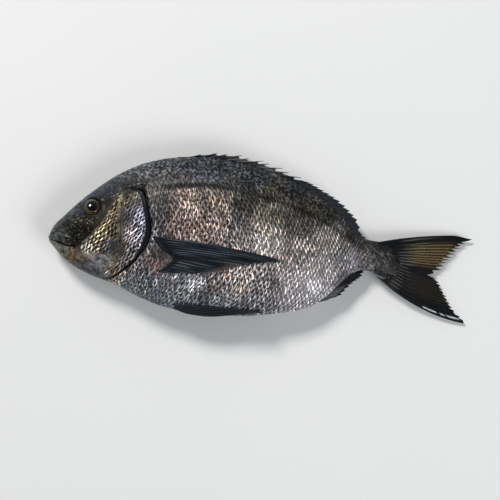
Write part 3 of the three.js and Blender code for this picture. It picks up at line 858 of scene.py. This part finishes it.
def make_tail_fin(material):
    u, v = grid(TAIL_RAYS * 4 * 6 + 1, 84)
    x0, y0, x1, y1 = (curve(pairs)(u) for pairs in (TAIL_ROOT_X, TAIL_ROOT_Y, TAIL_TIP_X, TAIL_TIP_Y))
    # Each ray bends outwards on its way, most at the two edges of the tail.
    bulge = np.interp(u, (0, 1), (5, -13)) * np.abs(2 * u - 1)
    control_x, control_y = (x0 + x1) / 2, (y0 + y1) / 2 + bulge
    frayed = 0.05 + 0.11 * hump(u - 0.34, 0.2)
    notch = frayed * teeth(u, 1.4 * TAIL_RAYS, 0.8) + 0.03 * teeth(u, 2.2 * TAIL_RAYS)
    w = v * (1 - notch * smooth(0.4, 1, v) * within(u, (0, 0.06), (0.94, 1)))
    x = (1 - w) ** 2 * x0 + 2 * w * (1 - w) * control_x + w**2 * x1
    y = (1 - w) ** 2 * y0 + 2 * w * (1 - w) * control_y + w**2 * y1
    # The upper tip droops.
    y -= 2.6 * smooth(0.8, 1, w) * fade(0.03, 0.2, u)
    ray = branching(u, v, TAIL_RAYS) * (0.1 + 0.9 * smooth(0.12, 0.55, v))
    # The root is as thick as the stem that it grows from, and the two edges are thicker than the rest.
    edge = hump(u, 0.03) + hump(1 - u, 0.035)
    body = 0.5 + 2.3 * fade(0, 0.5, v) + 3.2 * fade(0, 0.24, v) + 0.9 * edge * (1 - 0.7 * v)
    thickness = body * (1 - 0.6 * v) * (0.92 + 0.08 * ray) + 0.15 * ray * (1 - v) * smooth(0.1, 0.3, v)
    thickness *= 0.4 + 0.6 * within(u, (0, 0.012), (0.988, 1))
    wave = 0.7 * np.sin(5 * u + 1) * v + 0.35 * np.sin(2 * math.pi * u * TAIL_RAYS) * v
    z = np.maximum(middle_height(x) + wave, 0.5 * thickness + 0.05)
    middle = np.stack([x, y, z], -1)
    make_fin("tail_fin", "tail_fin_rays", material, middle, thickness, ray, v, tail_colour(u, v))


PECTORAL_RAYS = 15
# The rays' ends from the upper edge (0) to the lower edge (1): they start along a hollow line.
PECTORAL_ROOT_X = [(0, 88.5), (0.15, 91.5), (0.35, 98), (0.55, 106), (0.65, 108.5), (0.8, 105), (1, 97)]
PECTORAL_ROOT_Y = [(0, 8), (0.15, 3), (0.35, -3), (0.55, -7), (0.65, -9.4), (0.8, -15), (1, -21.2)]
PECTORAL_TIP_X = [
    (0, 203), (0.14, 202), (0.3, 191), (0.46, 175), (0.6, 161), (0.75, 150), (0.9, 132), (1, 112),
]
PECTORAL_TIP_Y = [
    (0, -2.4), (0.14, -4.2), (0.3, -6.2), (0.46, -9), (0.6, -13.6), (0.75, -17.2), (0.9, -20.2), (1, -21),
]


def pectoral_colour(u, v, fold):
    """Blue-black, with fine painted glints along the rays but none along the fold, and a thin pale end under
    the middle ones.
    """
    # Painted highlight: lighter lines along the rays, where their ridges would catch the light.
    glint = ridges(u + 0.006 * np.sin(9 * v), PECTORAL_RAYS, 4) * (0.5 + 0.5 * np.sin(17 * u + 7 * v))
    glint += 0.5 * ridges(u, 2.4 * PECTORAL_RAYS, 3) * (0.5 + 0.5 * np.sin(23 * u - 11 * v))
    colour = blend(rgb((15, 20, 27)), rgb((84, 95, 106)), glint * smooth(0.08, 0.2, v) * (1 - fold))
    thin_end = within(u, (0.44, 0.56), (0.78, 0.9)) * smooth(0.78, 0.95, v)
    return blend(colour, rgb((92, 80, 72)), 0.7 * thin_end)


def make_pectoral_fin(side, name, material):
    u, v = grid(PECTORAL_RAYS * 16 + 1, 100)
    ends = (PECTORAL_ROOT_X, PECTORAL_ROOT_Y, PECTORAL_TIP_X, PECTORAL_TIP_Y)
    x0, y0, x1, y1 = (curve(pairs)(u) for pairs in ends)
    notch = 0.04 * teeth(u, PECTORAL_RAYS) + 0.015 * teeth(u, 3 * PECTORAL_RAYS)
    w = v * (1 - notch * smooth(0.6, 1, v))
    x = x0 + (x1 - x0) * w
    y = y0 + (y1 - y0) * w + 2.2 * np.sin(math.pi * w) * (1 - 1.6 * u)
    ray = branching(u, 0.66 * v, PECTORAL_RAYS)
    fold = hump(u - 0.52 - 0.08 * v, 0.05)
    lift = 0.7 + 1.4 * hump(v, 0.1) * (1 - 0.6 * u) + 0.6 * fade(0.3, 0.62, u) * (1 - 0.6 * v)
    top_lift = lift + (0.2 + 0.55 * ray) * (1 - 0.5 * v) - 0.35 * fold
    top_lift *= 0.45 + 0.55 * within(u, (0, 0.015), (0.985, 1))
    # The rays come out of the flank.
    out = smooth(0, 0.06, v)
    top = over_skin(x, y, side, top_lift * out - 0.9 * (1 - out))
    under = over_skin(x, y, side, 0.25 * lift * out - 1.4 * (1 - out))
    if side < 0:
        # Under the fish the fin is pressed between the flank and the surface.
        top, under = (np.stack([x, y, np.full(np.shape(x), level)], -1) for level in (0.02, 1.2))
        top[..., 2] += 0.3 * (1 - ray)
    looks = {"ray": np.stack([ray, v, 0 * v], -1), "tone": pectoral_colour(u, v, fold)}
    make_sheet(f"pectoral_fin_rays_{name}", f"pectoral_fin_{name}", material, top, under, looks)


PELVIC_RAYS = 6
PELVIC_ROOT_X = 114
PELVIC_LENGTH = 76
PELVIC_UPPER_EDGE = [(0, -47.6), (0.3, -47.4), (0.7, -47.6), (1, -48.4)]
PELVIC_LOWER_EDGE = [(0, -52), (0.15, -55.4), (0.36, -56.4), (0.7, -52.8), (1, -49)]


def make_pelvic_fin(side, name, material):
    u, v = grid(PELVIC_RAYS * 14 + 1, 60)
    upper = curve(PELVIC_UPPER_EDGE)(v)
    lower = curve(PELVIC_LOWER_EDGE)(v)
    x = PELVIC_ROOT_X + PELVIC_LENGTH * v * (1 - 0.06 * teeth(u, PELVIC_RAYS) * smooth(0.5, 1, v))
    y = upper + (lower - upper) * u
    out = (15 - 8 * u) * half_width(x) / half_width(PELVIC_ROOT_X) - 2.4 * fade(0, 0.12, v)
    ray = ridges(u, PELVIC_RAYS)
    z = middle_height(x) + side * (out + 0.8 + 0.5 * ray)
    thickness = (0.5 + 1.1 * ray * (1 - 0.5 * v)) * (1 - 0.4 * v)
    middle = np.stack([x, y, np.maximum(z, 0.5 * thickness + 0.05)], -1)
    # Painted highlight: lighter lines along the rays.
    colour = blend(rgb((14, 19, 26)), rgb((52, 60, 68)), 0.7 * ridges(u, PELVIC_RAYS, 4))
    make_fin(f"pelvic_fin_{name}", f"pelvic_fin_rays_{name}", material, middle, thickness, ray, v, colour)


# ---------------------------------------------------------------- materials

class Value:
    """What a node gives; arithmetic with numbers or other values adds math nodes."""

    def __init__(self, nodes, socket):
        self.nodes = nodes
        self.socket = socket

    def __add__(self, other):
        return self.nodes.math("ADD", self, other)

    def __sub__(self, other):
        return self.nodes.math("SUBTRACT", self, other)

    def __rsub__(self, other):
        return self.nodes.math("SUBTRACT", other, self)

    def __mul__(self, other):
        return self.nodes.math("MULTIPLY", self, other)


class Nodes:
    """A material's node tree, built by calls that take values, plain numbers and colours."""

    def __init__(self, name):
        self.material = bpy.data.materials.new(name)
        self.material.use_nodes = True
        self.tree = self.material.node_tree
        self.shader = self.tree.nodes["Principled BSDF"]

    def put(self, socket, value):
        if isinstance(value, Value):
            self.tree.links.new(value.socket, socket)
        elif socket.type == "RGBA":
            socket.default_value = (*value, 1)
        else:
            socket.default_value = value

    def add(self, kind, output, inputs=(), **settings):
        """A new node's output, after its settings and its inputs, which are in order or in a dict."""
        node = self.tree.nodes.new("ShaderNode" + kind)
        for name, setting in settings.items():
            setattr(node, name, setting)
        for key, value in inputs.items() if isinstance(inputs, dict) else enumerate(inputs):
            self.put(node.inputs[key], value)
        return Value(self, node.outputs[output])

    def math(self, operation, *values):
        return self.add("Math", 0, values, operation=operation)

    def attribute(self, name):
        return self.add("Attribute", "Vector", attribute_name=name)

    def split(self, vector):
        first = self.add("SeparateXYZ", 0, [vector])
        return [Value(self, output) for output in first.socket.node.outputs]

    def join(self, x, y):
        return self.add("CombineXYZ", 0, [x, y])

    def random(self, vector):
        """Three random numbers for each distinct vector."""
        return self.split(self.add("TexWhiteNoise", "Color", {"Vector": vector}, noise_dimensions="3D"))

    def noise(self, vector, scale, detail, roughness):
        inputs = {"Vector": vector, "Scale": scale, "Detail": detail, "Roughness": roughness}
        return self.add("TexNoise", "Fac", inputs)

    def between(self, low, high, value, out_low=0.0, out_high=1.0):
        """A smooth step from out_low to out_high as value goes from low to high."""
        inputs = [value, low, high, out_low, out_high]
        return self.add("MapRange", 0, inputs, interpolation_type="SMOOTHSTEP")

    def grain(self, scale, detail=4.0, roughness=0.7):
        """Noise over the object, with a scale for each metre: the higher it is, the finer the noise."""
        return self.noise(self.add("TexCoord", "Object"), scale, detail, roughness)

    def mix(self, factor, a, b, blend_type="MIX"):
        return self.add("Mix", 2, {0: factor, 6: a, 7: b}, data_type="RGBA", blend_type=blend_type)

    def gain(self, colour, factor):
        """A colour made lighter or darker by a factor."""
        return self.add("VectorMath", 0, {0: colour, "Scale": factor}, operation="SCALE")

    def bump(self, height, strength, distance, **normal):
        return self.add("Bump", 0, {"Height": height, "Strength": strength, "Distance": distance, **normal})

    def finish(self, **values):
        """Sets the shader's inputs and gives the material."""
        for name, value in values.items():
            self.put(self.shader.inputs[name.replace("_", " ")], value)
        return self.material


def toward(start, end, share):
    """start where share is 0, end where it is 1, for values in nodes."""
    return (end - start) * share + start


def scale_nodes(n, s, t):
    """What scales() gives, in nodes, and a vector that names the scale."""
    row = n.math("FLOOR", t)
    found = []
    for step in (0, 1):
        j = row + step
        off = n.math("ABSOLUTE", t - j)
        shift = n.math("MODULO", j, 2) * 0.5
        reach = s - shift - (1 - off * off) * SCALE_CURVE
        number = n.math("CEIL", reach)
        found.append((number - reach, off, number, j, number + shift))
    first = n.math("LESS_THAN", found[0][-1], found[1][-1] + 0.01)
    short, off, number, j = (toward(b, a, first) for a, b in list(zip(*found))[:-1])
    return short, off, n.join(number, j)


def crescents(n, short, off, tilt, spots, broken):
    """Bright strokes just inside each scale's rear edge, partly the scale's silver and partly painted glint:
    a long stroke on the front flank, a spot further back.
    """
    inner = tilt * 0.16 + 0.14
    stroke = n.between(0.02, 0.14, short) * n.between(inner, inner + 0.24, short, 1, 0)
    long_one = n.between(0.65, 1.1, off, 1, 0.1)
    spot = n.between(0.2, 0.7, off, 1, 0)
    return stroke * toward(long_one, spot, spots) * (broken * 0.85 + 0.15)


def skin_material():
    """Wet scaled skin: silver-tan crescents or spots, partly painted glint, on dark ground, each scale unlike
    the next.
    """
    n = Nodes("skin")
    s, t, contrast = n.split(n.attribute("lattice"))
    spots, speckle, shine = n.split(n.attribute("look"))
    s_bent = s + (n.grain(260, 1, 0.5) - 0.5) * 0.2
    t_bent = t + (n.grain(180, 1, 0.5) - 0.5) * 0.3
    short, off, scale_id = scale_nodes(n, s_bent, t_bent)
    tint, bright, tilt = n.random(scale_id)
    broken = n.between(0.36, 0.62, n.noise(n.join(s * 3.4, t * 1.2), 1, 2, 0.6))
    crescent = crescents(n, short, off, tilt, spots, broken)

    # Where the contrast is over 1 the glints are stronger and the ground between them darker.
    scaled = n.math("MINIMUM", contrast, 1)
    extra = contrast - scaled
    # The strokes' brightness is partly the scales' silver and partly painted glint.
    glint = (bright * bright * 5 + 2.2) * crescent * (extra * 1.5 + 1)
    glint = glint * n.between(0.32, 0.66, n.grain(330, 2, 0.6), 0.35, 1.5)
    grit = n.between(0.32, 0.68, n.grain(620, 2, 0.6), 0.3, 1.7)
    ground = grit * (broken * 0.5 + 0.5) * n.math("MAXIMUM", extra * -0.9 + 0.62, 0.05)
    patches = n.between(0.3, 0.7, n.grain(75, 4, 0.65), 0.55, 1.42)
    # On the back the scales hardly show through a fine speckle, and bare skin is only mottled.
    mottled = grit * n.between(0.44, 0.63, n.grain(400, 1.5, 0.6), 0.05, 3.1)
    light = toward(glint + ground, mottled, speckle * 0.72) * patches
    bare = n.between(0.35, 0.66, n.grain(270, 2.5, 0.65), 0.2, 2)
    light = toward(toward(1, bare, speckle * 0.8 + 0.2), light, scaled)

    hue = n.mix(crescent, (0.9, 0.98, 1.1), n.mix(tint, (1.2, 0.99, 0.76), (0.94, 1, 1.08)))
    hue = n.mix(scaled, (1, 1, 1), hue)
    colour = n.mix(1, n.gain(n.attribute("tone"), light), hue, "MULTIPLY")
    # Golden flecks, partly the skin's gold and partly painted glints.
    flecks = n.between(0.63, 0.69, n.grain(560, 1, 0.5)) * n.split(n.attribute("gold"))[0]
    colour = n.mix(flecks, colour, rgb((184, 166, 128)))

    edge = (1 - short) * n.between(0, 0.1, short) * scaled
    pores = n.bump(n.grain(700), 0.2, 0.0003, Normal=n.bump(edge, 0.5, 0.0004))
    gloss = n.between(0.3, 0.7, n.grain(240, 3, 0.6), 0.3, 0.5)
    return n.finish(Base_Color=colour, Roughness=gloss, Normal=pores, Coat_Weight=shine,
                    Coat_Roughness=0.1, Specular_IOR_Level=0.12)


def fin_material():
    """Dark wet membrane over finely ringed rays."""
    n = Nodes("fin")
    ray, along, _ = n.split(n.attribute("ray"))
    grain = n.grain(700)
    colour = n.gain(n.attribute("tone"), n.between(0.25, 0.75, grain, 0.55, 1.45))
    rings = n.math("SINE", along * 260) * ray
    normal = n.bump(grain, 0.25, 0.0002, Normal=n.bump(rings * 0.12 + ray, 0.3, 0.0005))
    return n.finish(Base_Color=colour, Roughness=n.between(0.3, 0.7, grain, 0.3, 0.5), Normal=normal,
                    Coat_Weight=0.2, Coat_Roughness=0.12, Specular_IOR_Level=0.12)


# Radii in the eye, in millimetres.
PUPIL = 4.1
PALE_RING = (5.0, 5.3)
GOLDEN_ARCS = (6.3, 6.8)


def eye_material():
    """A blue-black pupil in a dark iris, with a thin pale ring and faint golden arcs, under a wet cornea."""
    n = Nodes("eye")
    x, y, _ = n.split(n.attribute("iris"))
    # The pupil is drawn out to a blunt point towards the snout.
    x = x - n.math("MINIMUM", x, 0) * 0.08
    radius = n.math("SQRT", x * x + y * y)
    streaks = n.noise(n.join(n.math("ARCTAN2", y, x), radius * 0.12), 5, 4, 0.7)

    def ring(inner, outer, soft):
        return n.between(inner - soft, inner, radius) * n.between(outer, outer + soft, radius, 1, 0)

    colour = n.mix(n.between(0.3, 0.7, streaks), rgb((18, 17, 16)), rgb((34, 29, 23)))
    pale = ring(*PALE_RING, 0.25) * n.between(0.35, 0.6, streaks, 0.3, 1)
    colour = n.mix(pale, colour, rgb((108, 98, 76)))
    arcs = ring(*GOLDEN_ARCS, 0.3) * n.between(0.42, 0.6, streaks)
    colour = n.mix(arcs, colour, rgb((104, 90, 62)))
    colour = n.mix(n.between(PUPIL - 0.3, PUPIL, radius), rgb((7, 11, 18)), colour)
    return n.finish(Base_Color=colour, Roughness=0.5, Coat_Weight=1, Coat_Roughness=0.02,
                    Specular_IOR_Level=0)


def floor_material():
    n = Nodes("pale_floor")
    colour = n.mix(n.grain(3, 2, 0.5), rgb((236, 238, 240)), rgb((242, 243, 244)))
    return n.finish(Base_Color=colour, Roughness=0.7)


# ---------------------------------------------------------------- the fish, piece by piece

scaly = skin_material()
rayed = fin_material()
glassy = eye_material()
make_body(scaly)
make_dorsal_fin(rayed)
make_anal_fin(rayed)
make_tail_fin(rayed)
for side, name in ((1, "left"), (-1, "right")):
    make_gill_cover(side, name, scaly)
    make_eye(side, name, glassy)
    make_pectoral_fin(side, name, rayed)
    make_pelvic_fin(side, name, rayed)


# ---------------------------------------------------------------- floor, light and camera

def make_floor():
    bpy.ops.mesh.primitive_plane_add(size=6)
    floor = bpy.context.object
    floor.name = "floor"
    floor.data.materials.append(floor_material())


def aim(thing, target):
    """Turns a light or camera to look at target."""
    thing.rotation_euler = (Vector(target) - thing.location).to_track_quat("-Z", "Y").to_euler()


def make_light(name, place, size, power, colour=(1, 1, 1)):
    """A round soft light in metres and watts, which looks at the fish."""
    light = bpy.data.objects.new(name, bpy.data.lights.new(name, "AREA"))
    light.data.shape = "DISK"
    light.data.size = size
    light.data.energy = power
    light.data.color = colour
    light.location = place
    bpy.context.scene.collection.objects.link(light)
    aim(light, (0, 0, 0))


# The picture's width and the camera's distance in metres, and the picture's centre in the fish's millimetres.
PICTURE_WIDTH = 0.4325
PICTURE_CENTRE = (174.6, 4, 22)
CAMERA_DISTANCE = 1.7
CAMERA_ELEVATION = math.radians(89)
CAMERA_AZIMUTH = math.radians(5)
SENSOR_WIDTH = 36


def make_camera():
    data = bpy.data.cameras.new("camera")
    camera = bpy.data.objects.new("camera", data)
    bpy.context.scene.collection.objects.link(camera)
    target = Vector(PICTURE_CENTRE) * MM + Vector((SNOUT_X, BASE_Y, 0)) * MM
    back_off = Vector((math.sin(CAMERA_AZIMUTH), -math.cos(CAMERA_AZIMUTH), 0)) * math.cos(CAMERA_ELEVATION)
    camera.location = target + CAMERA_DISTANCE * (back_off + Vector((0, 0, math.sin(CAMERA_ELEVATION))))
    aim(camera, target)
    data.sensor_width = SENSOR_WIDTH
    data.lens = SENSOR_WIDTH * CAMERA_DISTANCE / PICTURE_WIDTH
    bpy.context.scene.camera = camera


# The sky's strengths at two heights, where 0 is the horizon and 1 is overhead.
SKY_HEIGHTS = (0.15, 0.9)
SKY_STRENGTHS = (0.55, 0.08)


def make_world():
    """A soft sky, bright low down and dark overhead, so that wet black skin stays black from above."""
    world = bpy.data.worlds.new("studio")
    world.use_nodes = True
    tree = world.node_tree
    height = tree.nodes.new("ShaderNodeSeparateXYZ")
    tree.links.new(tree.nodes.new("ShaderNodeTexCoord").outputs["Generated"], height.inputs[0])
    dimming = tree.nodes.new("ShaderNodeMapRange")
    for socket, value in zip(dimming.inputs[1:], SKY_HEIGHTS + SKY_STRENGTHS):
        socket.default_value = value
    tree.links.new(height.outputs["Z"], dimming.inputs[0])
    tree.links.new(dimming.outputs[0], tree.nodes["Background"].inputs["Strength"])
    tree.nodes["Background"].inputs["Color"].default_value = (0.92, 0.96, 1, 1)
    bpy.context.scene.world = world


make_floor()
make_light("key", place=(-1.1, 1.5, 1.9), size=0.7, power=48, colour=(1, 0.97, 0.93))
make_light("fill", place=(1.8, -1.1, 1.9), size=1.6, power=31)
make_camera()
make_world()
bpy.context.scene.view_settings.view_transform = "Standard"
